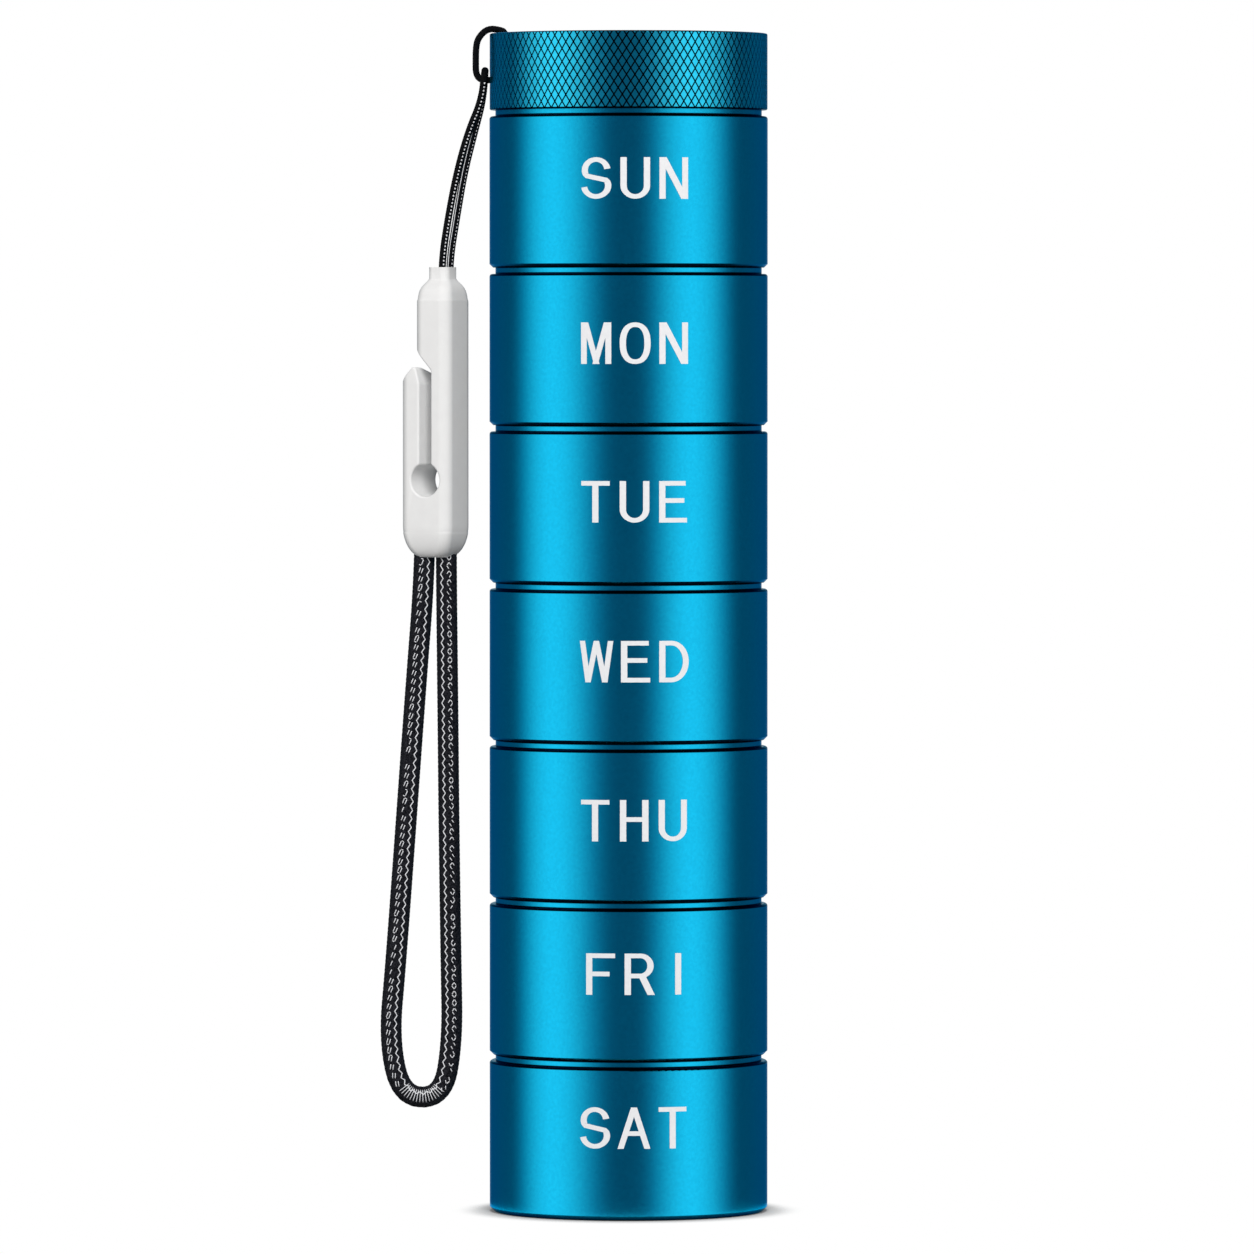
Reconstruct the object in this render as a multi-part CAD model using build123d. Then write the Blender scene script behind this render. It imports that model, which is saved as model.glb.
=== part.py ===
from build123d import *
import math
import os

# Weekly pill organizer: seven turned cups that screw into each other, a screw cap and a wrist lanyard.
# Millimetres, +Z up, origin at the middle of the base. The front faces -Y, the lanyard hangs on the -X side.

# Stack of cups, from the bottom up
DAYS = ("sat", "fri", "thu", "wed", "tue", "mon", "sun")
body_dia = 35.0
cup_pitch = 19.8
shadow_height = 0.8
shadow_depth = 0.75
rim_round = 0.35
skirt_chamfer = 0.45
base_chamfer = 0.6
base_thickness = 2.4

# Pill pocket of a cup
pocket_round = 2.0
pocket_lip = 0.3
floor_thickness = 1.4

# Screw closure: the neck enters the socket above it, with room between them for the two threads
skirt_wall = 3.44
neck_wall = 1.5
neck_height = 5.6
neck_chamfer = 0.5
thread_room = 0.6
socket_room = 0.4

# Sealing ring at the foot of each neck
ring_section = 1.2
ring_groove_depth = 0.3
ring_clearance = 0.06
ring_side_room = 0.2

# Cap and its lanyard eyelet, a hole from the top that meets a hole from the side
cap_height = 9.6
cap_round = 0.25
cap_chamfer = 0.15
eyelet_dia = 1.7
eyelet_inset = 2.05
eyelet_drop = 5.8
eyelet_chamfer = 0.3

# Thin cord: the tether through the eyelet and the doubled strap that hangs on it
thin_cord_dia = 0.95
tether_reach = 1.85
tether_rise = 0.6
tether_bend = 1.0
hang_gap = 0.65

# Hook clip, drawn in its own width, depth and height and turned about its upright axis
clip_width = 7.25
clip_depth = 5.95
clip_height = 36.45
clip_corner = 1.4
clip_turn = 32.0
clip_out = 6.13
clip_drop = 60.0
clip_end_height = 4.0
clip_end_width_inset = 2.05
clip_end_depth_inset = 1.63
clip_end_corner = 1.2
clip_upper_width = 5.125
clip_shoulder_low = 32.15
clip_shoulder_high = 35.05
clip_neck_width = 2.95
clip_neck_corner = 0.9
clip_edge_round = 0.25

# Hook of the clip: a slot beside the arm, a keyhole at its foot and a slanted mouth at its top
slot_width = 1.78
slot_offset = 0.25
keyhole_dia = 4.2
keyhole_height = 9.7
keyhole_blend = 0.5
arm_tip_height = 24.3
arm_tip_inset = 0.66
arm_tip_round = 0.45
arm_tip_drop = 2.4
arm_lead_drop = 2.5
arm_lead_round = 2.0
arm_back_drop = 1.8
mouth_drop = 0.85
mouth_rise = 2.9
mouth_round = 0.6

# Thick cord of the wrist loop, and the blind holes that hold the cords in the clip
wrist_cord_dia = 2.7
strap_hole_depth = 2.5
wrist_hole_depth = 6.05
cord_hole_clearance = 0.06

# Narrowing of the clip's ends, as (height share, inset share) from the full section outwards
end_shares = ((0, 0), (0.30, 0.05), (0.55, 0.165), (0.75, 0.34), (0.90, 0.57), (1, 0.80))
shoulder_shares = ((0, 0), (0.40, 0.17), (0.70, 0.50), (0.90, 0.88), (1, 1))

# Where an edge is sampled, and the slope past which it runs through the clip's depth
rim_sample_shares = (0.2, 0.5, 0.8)
across_share = 0.95

# Each bend of a cord takes this share of the shorter run beside it
bend_share = 0.45

# Cord routes, as (x, y, z) from the point where the strap hangs on the tether
strap_route = (
    (-5.42, 0, -26.04), (-5.42, 0, -22.80), (-4.58, -0.16, -17.60), (-3.43, -0.30, -11.60),
    (-1.96, -0.42, -6.40), (-0.52, -0.75, -2.60), (0, -1.20, 1.15),
    (0, 1.20, 1.15), (-0.40, 0.75, -2.60), (-1.20, 0.42, -6.40),
    (-2.53, 0.30, -11.60), (-3.54, 0.16, -17.60), (-4.30, 0, -22.80), (-4.30, 0, -26.04),
)
wrist_route = (
    (-7.50, 0.86, -53.95), (-7.50, 0.86, -61.20), (-8.72, 0.30, -77.30), (-10.02, 0, -95.40),
    (-11.20, 0, -111.40), (-12.05, 0, -120.90), (-10.45, 0, -128.10),
    (-5.25, 0, -128.10), (-4.05, 0, -120.90), (-4.22, 0, -111.40),
    (-4.46, 0, -95.40), (-4.62, -0.30, -77.30), (-4.76, -0.86, -61.20), (-4.76, -0.86, -53.95),
)

# Overrun of every cut past the faces that it opens, and the distance at which an edge counts as on a face
overrun = 1.0
touching = 0.001

# Sizes that follow from the ones above
body_radius = body_dia / 2
land_radius = body_radius - shadow_depth
shell_height = cup_pitch - shadow_height
seal_radius = body_radius - skirt_wall
seal_depth = ring_section + 2 * ring_clearance
ring_radius = seal_radius - ring_side_room - ring_section / 2
groove_radius = ring_radius - ring_section / 2 - ring_clearance
neck_radius = groove_radius + ring_groove_depth
neck_top = cup_pitch + neck_height
pocket_radius = neck_radius - neck_wall
socket_radius = neck_radius + thread_room
socket_depth = neck_height + socket_room
cap_foot = len(DAYS) * cup_pitch
cap_top = cap_foot + cap_height
eyelet_radius = eyelet_dia / 2
eyelet_x = eyelet_inset - body_radius
eyelet_z = cap_top - eyelet_drop
hang = Vector(-body_radius - hang_gap, 0, eyelet_z)
upper_center = (clip_width - clip_upper_width) / 2
slot_left = slot_offset - slot_width / 2
slot_right = slot_offset + slot_width / 2
mouth_low = arm_tip_height - mouth_drop
arm_tip = slot_left - arm_tip_inset
arm_lead = arm_tip_height - arm_lead_drop


def turned(corners):
    """Solid of revolution about Z from (radius, height, rounding) corners."""
    outline = make_face(Polyline(*[(radius, height) for radius, height, _ in corners], close=True))
    for radius, height, rounding in corners:
        if rounding:
            corner = outline.vertices().sort_by_distance((radius, height))[0]
            outline = fillet(corner, rounding)
    return revolve(Plane.XZ * outline, Axis.Z)


def neck_and_pocket(floor_top):
    """Corners from the rounded rim over the land and the neck down to the middle of the pocket's floor."""
    return [
        (body_radius, shell_height, rim_round),
        (land_radius, shell_height, 0),
        (land_radius, cup_pitch, 0),
        (groove_radius, cup_pitch, 0),
        (groove_radius, cup_pitch + seal_depth, 0),
        (neck_radius, cup_pitch + seal_depth, 0),
        (neck_radius, neck_top - neck_chamfer, 0),
        (neck_radius - neck_chamfer, neck_top, 0),
        (pocket_radius + pocket_lip, neck_top, 0),
        (pocket_radius, neck_top - pocket_lip, 0),
        (pocket_radius, floor_top, pocket_round),
        (0, floor_top, 0),
    ]


def skirt(edge):
    """Corners of a chamfered lower outside edge."""
    return [(body_radius - edge, 0, 0), (body_radius, edge, 0)]


def socket():
    """Corners of the threaded socket and of the wider bore for the sealing ring, from the middle out."""
    return [
        (0, socket_depth, 0),
        (socket_radius, socket_depth, 0),
        (socket_radius, seal_depth, 0),
        (seal_radius, seal_depth, 0),
        (seal_radius, 0, 0),
    ]


def cup():
    """Cup that screws onto the one below it."""
    return turned(skirt(skirt_chamfer) + neck_and_pocket(socket_depth + floor_thickness) + socket())


def base_cup():
    """Lowest cup, with a closed flat base."""
    return turned(skirt(base_chamfer) + neck_and_pocket(base_thickness) + [(0, 0, 0)])


def o_ring():
    """Sealing ring in the groove at the foot of a neck."""
    return Pos(0, 0, cup_pitch + seal_depth / 2) * Torus(ring_radius, ring_section / 2)


def eyelet():
    """Cutter of the bent lanyard hole, with eased mouths on the cap's top and side."""
    wide = eyelet_radius + eyelet_chamfer
    rise = eyelet_drop + overrun
    run = eyelet_inset + overrun
    upright = Pos(0, 0, rise / 2) * Cylinder(eyelet_radius, rise)
    sideways = Pos(-run / 2, 0, 0) * Rot(0, 90, 0) * Cylinder(eyelet_radius, run)
    top_mouth = Pos(0, 0, eyelet_drop - eyelet_chamfer / 2) * Cone(eyelet_radius, wide, eyelet_chamfer)
    side_place = Pos(eyelet_chamfer / 2 - eyelet_inset, 0, 0) * Rot(0, -90, 0)
    side_mouth = side_place * Cone(eyelet_radius, wide, eyelet_chamfer)
    return upright + sideways + Sphere(eyelet_radius) + top_mouth + side_mouth


def cap():
    """Screw cap with its lanyard eyelet."""
    lid = turned(skirt(cap_chamfer) + [(body_radius, cap_height, cap_round), (0, cap_height, 0)] + socket())
    return Pos(0, 0, cap_foot) * lid - Pos(eyelet_x, 0, eyelet_z) * eyelet()


def swept(path, diameter):
    """Round cord along a path."""
    start = Plane(path @ 0, z_dir=path % 0)
    return sweep(start * Circle(diameter / 2), path)


def tether_loop():
    """Closed loop of thin cord through the eyelet and over the edge of the cap."""
    inner = eyelet_x
    outer = -body_radius - tether_reach
    top = cap_top + tether_rise
    middle = (inner + outer) / 2
    half_loop = FilletPolyline(
        (middle, 0, eyelet_z), (outer, 0, eyelet_z), (outer, 0, top), (middle, 0, top), radius=tether_bend
    )
    cord = swept(half_loop, thin_cord_dia)
    return cord + mirror(cord, Plane.YZ.offset(middle))


def routed_cord(name, route, diameter):
    """Cord along a route of runs joined by the largest bends that the runs allow."""
    points = [hang + Vector(*point) for point in route]
    radii = []
    for before, corner, after in zip(points, points[1:], points[2:]):
        shorter = min((corner - before).length, (after - corner).length)
        half_turn = math.radians((corner - before).get_angle(after - corner)) / 2
        radii.append(bend_share * shorter / math.tan(half_turn))
    path = FilletPolyline(*points, radius=radii)
    cord = swept(path, diameter)
    expected = path.length * math.pi * diameter**2 / 4
    print(name, "radii", [round(radius, 2) for radius in radii])
    print(name, "length", round(path.length, 2), "volume over expected", round(cord.volume / expected, 5))
    return cord


def clip_section(height, inset_width, inset_depth, width, center, corner):
    """Rounded section across the clip at one height."""
    outline = RectangleRounded(width - 2 * inset_width, clip_depth - 2 * inset_depth, corner)
    return Pos(center, 0, height) * outline


def clip_lower():
    """Full-width lower part of the clip, with a rounded foot."""
    sections = []
    for rise, share in end_shares:
        inset_width = share * clip_end_width_inset
        inset_depth = share * clip_end_depth_inset
        height = clip_end_height * (1 - rise)
        corner = clip_corner + share * (clip_end_corner - clip_corner)
        sections.append(clip_section(height, inset_width, inset_depth, clip_width, 0, corner))
    foot = loft(sections)
    bar = extrude(sections[0], arm_tip_height - clip_end_height)
    return foot + bar


def clip_upper():
    """Narrower upper part of the clip, drawn in over rounded shoulders to a short neck."""
    sections = []
    for rise, share in shoulder_shares:
        height = clip_shoulder_low + rise * (clip_shoulder_high - clip_shoulder_low)
        inset_width = share * (clip_upper_width - clip_neck_width) / 2
        inset_depth = share * (clip_depth - clip_neck_width) / 2
        corner = clip_corner + share * (clip_neck_corner - clip_corner)
        sections.append(clip_section(height, inset_width, inset_depth, clip_upper_width, upper_center, corner))
    foot = clip_section(keyhole_height, 0, 0, clip_upper_width, upper_center, clip_corner)
    bar = extrude(foot, clip_shoulder_low - keyhole_height)
    neck = extrude(sections[-1], clip_height - clip_shoulder_high)
    return bar + loft(sections) + neck


def hook_space():
    """Cutter of the slot, the keyhole and the slanted mouth between the arm and the upper part."""
    outside = -clip_width / 2 - overrun
    arm_slope = arm_tip_drop / (arm_tip + clip_width / 2)
    mouth_slope = mouth_rise / (slot_right + clip_upper_width - clip_width / 2)
    arm_out = arm_tip_height - arm_slope * (arm_tip - outside)
    mouth_out = mouth_low + mouth_slope * (slot_right - outside)
    opening = make_face(Polyline(
        (slot_left, keyhole_height), (slot_left, arm_lead), (arm_tip, arm_tip_height), (outside, arm_out),
        (outside, mouth_out), (slot_right, mouth_low), (slot_right, keyhole_height), close=True
    ))
    opening = fillet(opening.vertices().sort_by_distance((arm_tip, arm_tip_height))[0], arm_tip_round)
    opening = fillet(opening.vertices().sort_by_distance((slot_left, arm_lead))[0], arm_lead_round)
    opening = fillet(opening.vertices().sort_by_distance((slot_right, mouth_low))[0], mouth_round)
    opening += Pos(slot_offset, keyhole_height) * Circle(keyhole_dia / 2)
    shoulder = math.sqrt(keyhole_dia**2 - slot_width**2) / 2
    for side in (slot_left, slot_right):
        waist = opening.vertices().sort_by_distance((side, keyhole_height + shoulder))[0]
        opening = fillet(waist, keyhole_blend)
    return extrude(Plane.XZ * opening, clip_depth / 2 + overrun, both=True)


def tip_slope():
    """Cutter that lets the arm's tip fall towards the clip's back."""
    back = make_face(Polyline(
        (-clip_depth / 2, arm_tip_height), (clip_depth / 2, arm_tip_height - arm_back_drop),
        (clip_depth / 2, arm_tip_height), close=True
    ))
    return extrude(Plane.YZ.offset(slot_left) * back, -clip_width)


def hook_rims(body, space):
    """Sharp edges that the hook's space leaves round its outline on the clip, front and back."""
    walls = space.faces()
    rims = []
    for edge in body.edges():
        gaps = [min(wall.distance_to(edge @ share) for wall in walls) for share in rim_sample_shares]
        across = abs((edge % 0).Y) > across_share
        if max(gaps) < touching and not across:
            rims.append(edge)
    return rims


def cord_hole(route_end, diameter, depth, mouth):
    """Blind hole that a cord's end sits in, from its end to the clip's face at the mouth's side."""
    length = depth + overrun
    bore = Cylinder(diameter / 2 + cord_hole_clearance, length)
    end = hang + Vector(*route_end)
    return Pos(end.X, end.Y, end.Z + mouth * length / 2) * bore


def lanyard_clip():
    """Moulded hook clip between the strap and the wrist loop."""
    space = hook_space() + tip_slope()
    body = clip_lower() + clip_upper() - space
    body = fillet(hook_rims(body, space), clip_edge_round)
    turn = math.radians(clip_turn)
    foot = hang - Vector(clip_out, 0, clip_drop)
    clip = Plane(foot, x_dir=(math.cos(turn), -math.sin(turn), 0), z_dir=(0, 0, 1)) * body
    for end in (strap_route[0], strap_route[-1]):
        clip -= cord_hole(end, thin_cord_dia, strap_hole_depth, 1)
    for end in (wrist_route[0], wrist_route[-1]):
        clip -= cord_hole(end, wrist_cord_dia, wrist_hole_depth, -1)
    return clip


def build():
    """All nodes by name."""
    nodes = {}
    for index, day in enumerate(DAYS):
        place = Pos(0, 0, index * cup_pitch)
        nodes[f"cup_{day}"] = place * (cup() if index else base_cup())
        nodes[f"o_ring_{day}"] = place * o_ring()
    nodes["cap"] = cap()
    nodes["tether_loop"] = tether_loop()
    nodes["strap_cord"] = routed_cord("strap_cord", strap_route, thin_cord_dia)
    nodes["lanyard_clip"] = lanyard_clip()
    nodes["wrist_cord"] = routed_cord("wrist_cord", wrist_route, wrist_cord_dia)
    return nodes


os.makedirs("parts", exist_ok=True)
for node, shape in build().items():
    export_step(shape, f"parts/{node}.step")
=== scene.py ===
import math

import bmesh
import bpy
import numpy as np
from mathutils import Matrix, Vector


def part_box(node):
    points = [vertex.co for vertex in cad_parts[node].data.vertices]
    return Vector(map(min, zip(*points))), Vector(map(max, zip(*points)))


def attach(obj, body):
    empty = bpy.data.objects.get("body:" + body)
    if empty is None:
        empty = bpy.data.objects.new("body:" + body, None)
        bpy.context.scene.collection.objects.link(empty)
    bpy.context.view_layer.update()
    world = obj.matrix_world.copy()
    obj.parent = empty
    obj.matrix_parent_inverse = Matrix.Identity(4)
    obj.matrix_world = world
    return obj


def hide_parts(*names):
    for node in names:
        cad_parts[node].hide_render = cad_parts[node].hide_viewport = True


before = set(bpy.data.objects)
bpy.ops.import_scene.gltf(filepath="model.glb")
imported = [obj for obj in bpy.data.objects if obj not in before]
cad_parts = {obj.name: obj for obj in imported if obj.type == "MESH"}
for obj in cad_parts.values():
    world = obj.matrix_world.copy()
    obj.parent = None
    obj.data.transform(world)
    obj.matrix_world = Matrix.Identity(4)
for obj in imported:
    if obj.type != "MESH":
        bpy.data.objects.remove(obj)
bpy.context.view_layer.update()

# Weekly pill organizer: anodised screw cups with weekday marks, a knurled cap and a braided wrist lanyard.
# Metres, +Z up. The marks face -Y and the lanyard hangs on the -X side.
DAYS = ("sat", "fri", "thu", "wed", "tue", "mon", "sun")
FRONT = Vector((0, -1, 0))
body_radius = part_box("cup_sat")[1].x
cup_foot = {day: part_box(f"cup_{day}")[0].z for day in DAYS}
cup_pitch = cup_foot["fri"] - cup_foot["sat"]
cap_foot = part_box("cap")[0].z
cap_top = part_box("cap")[1].z

# Diamond knurl round the cap
DIAMOND_SIDES = ((-1, 0), (0, -1), (1, 0), (0, 1))
knurl_count = 105
knurl_pitch = 0.00164
knurl_depth = 0.00036
knurl_inset = 0.00003
knurl_flat_share = 0.80
knurl_overrun_rows = 2
knurl_crease = 24
weld_reach = 1e-7

# Two-start thread on every neck and in every socket
neck_radius = 0.0129
socket_radius = 0.0135
socket_phase_share = 0.5
thread_lead = 0.0030
thread_starts = 2
thread_height = 0.00045
thread_root = 0.00076
thread_crest = 0.00026
thread_sink = 0.00005
thread_low = 0.0017
thread_high = 0.0048
thread_fade_share = 0.125
thread_steps = 96
thread_crease = 35

# Weekday marks, as filled strokes wrapped round the cup
mark_height = 0.00516
mark_rise = 0.01032
mark_turn = 0.00087
mark_pitch = 0.00491
mark_stem = 0.00079
mark_beam = 0.00057
mark_slant = 0.00092
mark_proud = 0.00004
mark_sink = 0.00006
mark_slice = 0.0004
mark_crease = 40
mark_shifts = {"sun": -0.00004, "mon": -0.00005, "tue": -0.00013, "wed": 0.0, "thu": -0.00017, "fri": 0.00052,
               "sat": -0.0002}
mark_rises = {"sun": 0.01104, "fri": 0.01100, "sat": 0.01162, "tue": 0.01040}

# Letters: widths, steps and angles of the round strokes, and all strokes as shares of the letter's size
letter_widths = {
    "I": mark_stem, "T": 0.00364, "E": 0.00364, "F": 0.00368, "H": 0.00356, "N": 0.00376, "M": 0.00386,
    "W": 0.00428, "A": 0.00410, "U": 0.00370, "O": 0.00386, "D": 0.00388, "R": 0.00378, "S": 0.00386,
}
round_steps = {"U": 28, "O": 56, "D": 28, "R": 24, "S": 26}
trough_angles = (180, 360)
bowl_angles = (90, -90)
upper_angles = (8, 210)
lower_angles = (30, -172)
letter_shares = {
    "I": (("stem", 1, 0),),
    "T": (("beam", 0, 1, 1), ("stem", 1, 0.5)),
    "E": (("stem", 1, 0), ("beam", 0, 0.95, 1), ("beam", 0, 0.9, 0.53), ("beam", 0, 1, 0)),
    "F": (("stem", 1, 0), ("beam", 0, 1, 1), ("beam", 0, 0.81, 0.505)),
    "H": (("stem", 1, 0), ("stem", 1, 1), ("beam", 0, 1, 0.53)),
    "N": (("stem", 1, 0), ("stem", 1, 1), ("slant", 1, 1, 0, 1)),
    "M": (("stem", 0.94, 0), ("stem", 0.94, 1), ("slant", 0.78, 0.5320, 0.0662, 1),
          ("slant", 0.78, 0.4680, 0.9338, 1)),
    "W": (("slant", 0.74, 0.2022, 0, 1), ("slant", 0.74, 0.2022, 0.5, 1), ("slant", 0.74, 0.7978, 0.5, 1),
          ("slant", 0.74, 0.7978, 1, 1)),
    "A": (("slant", 0.82, 0, 0.5, 1), ("slant", 0.82, 1, 0.5, 1), ("beam", 0.25, 0.75, 0.37)),
    "U": (("trough", 0.32),),
    "O": (("oval", 0.86),),
    "D": (("stem", 1, 0), ("bowl", 0.40, 1, 0)),
    "R": (("stem", 1, 0), ("bowl", 0.52, 0.96, 0.46), ("slant", 1, 1, 0.5948, 0.46)),
    "S": (("double_bend", 0.94, 0.26),),
}

# Cords: routes from the point where the strap hangs on the tether
hang = Vector((-0.01815, 0, 0.1424))
thin_cord_dia = 0.00095
tether_dia = 0.00086
wrist_cord_dia = 0.0027
spline_order = 3
spline_resolution = 48
strap_route = (
    (-0.00535, 0, -0.02604), (-0.00535, 0, -0.02280), (-0.00458, -0.00016, -0.01760),
    (-0.00343, -0.00030, -0.01160), (-0.00196, -0.00042, -0.00640), (-0.00032, -0.00075, -0.00260),
    (0.00010, -0.00120, 0.00115), (0.00010, 0.00120, 0.00115), (-0.00020, 0.00075, -0.00260),
    (-0.00120, 0.00042, -0.00640), (-0.00253, 0.00030, -0.01160), (-0.00354, 0.00016, -0.01760),
    (-0.00438, 0, -0.02280), (-0.00438, 0, -0.02604),
)
wrist_route = (
    (-0.00746, 0.00040, -0.05395), (-0.00746, 0.00040, -0.06120), (-0.00872, 0.00030, -0.07730),
    (-0.01002, 0, -0.09540),
    (-0.01120, 0, -0.11140), (-0.01205, 0, -0.12090), (-0.01045, 0, -0.12810),
    (-0.00525, 0, -0.12810), (-0.00405, 0, -0.12090), (-0.00422, 0, -0.11140),
    (-0.00446, 0, -0.09540), (-0.00462, -0.00030, -0.07730), (-0.00480, -0.00012, -0.06120),
    (-0.00480, -0.00012, -0.05395),
)
tether_route = (
    (0.00270, 0, 0), (0.00100, 0, -0.00002), (-0.00045, 0, -0.00005), (-0.00105, 0, 0.00075),
    (-0.00107, 0, 0.00220), (-0.00105, 0, 0.00390), (-0.00084, 0, 0.00508), (-0.00005, 0, 0.00606),
    (0.00075, 0, 0.00642), (0.00160, 0, 0.00634), (0.00270, 0, 0.00605), (0.00270, 0, 0.00420),
    (0.00270, 0, 0.00210),
)

# Clip: its foot closes round the wrist cords
CORNER_SIDES = ((1, 1), (-1, 1), (-1, -1), (1, -1))
clip_foot = hang - Vector((0.00613, 0, 0.0600))
clip_turn = math.radians(32)
clip_width = 0.00725
clip_depth = 0.00595
clip_corner = 0.0013
clip_end_height = 0.0040
clip_end_width_inset = 0.00205
clip_end_depth_inset = 0.00163
clip_end_skin = 0.00003
clip_end_start_share = 0.2
clip_end_flat_share = 0.2
clip_end_steps = 20
clip_corner_steps = 10
clip_crease = 40

# Braid: strands each way, how far one turn of a strand runs, and the height of the strands
thin_braid = {"strands": 5, "turn": 0.0034, "relief": 0.00007, "sides": 30, "step": 0.00007}
wrist_braid = {"strands": 9, "turn": 0.0105, "relief": 0.00012, "sides": 54, "step": 0.00014}
braid_edge_share = 0.55

# White tracer threads, as angles from the front towards the outside of the loop
FACES = (0, math.pi)
THREAD_GUIDE = (0.31, -0.83, 0.46)
tracer_dia = 0.00014
tracer_margin = 0.0056
tracer_drop = 0.0004
tracer_sides = 6
zigzag_angle = math.radians(-25)
zigzag_half = 0.00018
zigzag_pitch = 0.00108
zigzag_steps = 12
diamond_angle = math.radians(15)
diamond_half = 0.00030
diamond_length = 0.00088
diamond_pitch = 0.00108
diamond_gap_share = 0.10
diamond_thread_dia = 0.00012
diamond_steps = 4
diamond_corner_shares = (
    ((-1.0, -0.75), (-0.1, 1.0), (1.0, 0.75), (0.1, -1.0)),
    ((-1.0, 0.0), (0.0, 1.0), (1.0, 0.0), (0.0, -1.0)),
)
diamond_drop_shares = ((0.04, 0.75), (0.50, 0.15))
diamond_seed = 7
fan_rise = 0.0013
fan_pitch = 0.00036
fan_low = math.radians(-44)
fan_high = math.radians(26)
fan_steps = 8
fan_dia = 0.00010
dot_pitch = 0.00046
dot_length = 0.00020
dot_dia = 0.00021
dot_angle = math.radians(20)
dot_steps = 4
dot_sink_share = 0.25
speck_dia = 0.00009
speck_angle = math.radians(32)
fine_line_dia = 0.00010
fine_line_angle = math.radians(-30)

# Colours, linear
ANODISED_BLUE = (0.010, 0.545, 0.87)
ANODISED_DEEP = (0.008, 0.49, 0.81)
# Brighter copy of the anodised blues for the cap, a painted highlight that makes the knurl's diamonds glint
# brighter
KNURL_HIGHLIGHT_BLUE = (0.035, 0.66, 0.93)
KNURL_HIGHLIGHT_DEEP = (0.025, 0.58, 0.88)
ANODISED_EDGE = (0.03, 0.52, 0.85)
# Painted shade that fills narrow gaps in the metal
ANODISED_PAINTED_SHADE = (0.001, 0.055, 0.125)
# Painted shade of the lines at the grooves between the cups
PAINTED_GROOVE_SHADE = (0.0005, 0.004, 0.008)
MARK_WHITE = (0.86, 0.86, 0.87)
MARK_DULL = (0.80, 0.80, 0.82)
CLIP_WHITE = (0.865, 0.86, 0.85)
CLIP_DULL = (0.84, 0.832, 0.825)
CORD_BLACK = (0.0015, 0.0015, 0.002)
CORD_SHEEN = (0.007, 0.007, 0.009)
WRIST_BLACK = (0.002, 0.002, 0.003)
WRIST_SHEEN = (0.026, 0.026, 0.033)
TRACER_WHITE = (0.90, 0.90, 0.92)
TRACER_DULL = (0.70, 0.71, 0.74)
RUBBER_BLACK = (0.012, 0.012, 0.012)
RUBBER_DULL = (0.022, 0.022, 0.022)
FLOOR_PALE = (0.80, 0.80, 0.80)
FLOOR_SEEN = (0.91, 0.91, 0.91)
WALL_AMBIENT_TINT = (0.25, 0.70, 0.96)
WHITE = (1, 1, 1)
BLACK = (0, 0, 0)

# Finishes: noises as cycles per metre and detail, and each bump as its strength and height
ANODISED = {"color": (2600, 3), "color_shares": (0.30, 0.70), "gloss": (1500, 2), "roughness": (0.19, 0.27),
            "surface": (6500, 2), "bump": (0.10, 0.00002)}
MARK_PAINT = {"color": (2400, 2), "color_shares": (0.25, 0.75), "gloss": (3000, 2), "roughness": (0.38, 0.52),
              "surface": (7000, 2), "bump": (0.12, 0.00002)}
CLIP_PLASTIC = {"color": (700, 3), "color_shares": (0.3, 0.7), "gloss": (2200, 2), "roughness": (0.34, 0.46),
                "surface": (5200, 3), "bump": (0.08, 0.00002)}
CORD_YARN = {"color": (5200, 3), "color_shares": (0.35, 0.70), "gloss": (4000, 2), "roughness": (0.50, 0.68),
             "surface": (16000, 2), "bump": (0.35, 0.00003)}
TRACER_YARN = {"color": (6000, 2), "color_shares": (0.3, 0.7), "surface": (16000, 2), "bump": (0.3, 0.00002)}
SEAL_RUBBER = {"color": (1800, 3), "color_shares": (0.3, 0.7), "gloss": (3000, 2), "roughness": (0.42, 0.58),
               "surface": (7000, 2), "bump": (0.15, 0.00002)}
yarn_specular = 0.08
tracer_roughness = 0.45
tracer_sheen = 0.2

# Colour sockets of a mix node
MIX_FIRST = 6
MIX_SECOND = 7
MIX_RESULT = 2

# Painted shade in narrow gaps in the metal: how far it is felt and how open a place looks where the shade is
# full and where it ends
gap_shade_reach = 0.0012
gap_shade_samples = 8
gap_shade_open_shares = (0.40, 0.475)

# Painted shade lines above and below each groove, by their middle over a cup's foot and half their height
groove_shade_lines = ((0.00002, 0.00011), (-0.00085, 0.00022))
groove_shade_soft = 0.00005
groove_shade_depth = 0.0009

# Studio: a round wall and a dark ceiling that only reflections see, and one soft lamp over the camera
HALF_TURN = 180.0
wall_radius = 0.45
wall_low = -0.28
wall_high = 0.42
wall_steps = 96
wall_ambient = 0.10
wall_white_level = 0.6
ceiling_level = 0.02
left_glow = {"angle": -65.0, "low_spread": 48.0, "high_spread": 56.0, "level": 1.0}
right_glow = {"angle": 52.0, "low_spread": 46.0, "high_spread": 52.0, "level": 1.0}
front_glow = {"spread": 42.0, "level": 0.045}
back_glow = {"spread": 22.0, "level": 0.5}
rear_glow = {"spread": 110.0, "level": 0.12}
lamp_place = (0.08, -1.23, 0.93)
lamp_width = 0.7
lamp_depth = 0.5
lamp_power = 19.0
room_light = 0.36

# Floor: its size, the white that is seen on it, and how far and how much the part's painted contact shadow
# darkens it
floor_radius = 0.0226
floor_full_radius = 0.0184
floor_lift = 0.30
contact_shadow_reach = 0.007
contact_shadow_open_shares = (0.42, 0.90)
contact_shadow_low_share = 0.36

# Camera
camera_place = (-0.0002, -1.4, 0.1110)
camera_target = (-0.0002, 0, 0.07357)
camera_lens = 319.3
camera_sensor = 36.0


# Meshes

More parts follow.
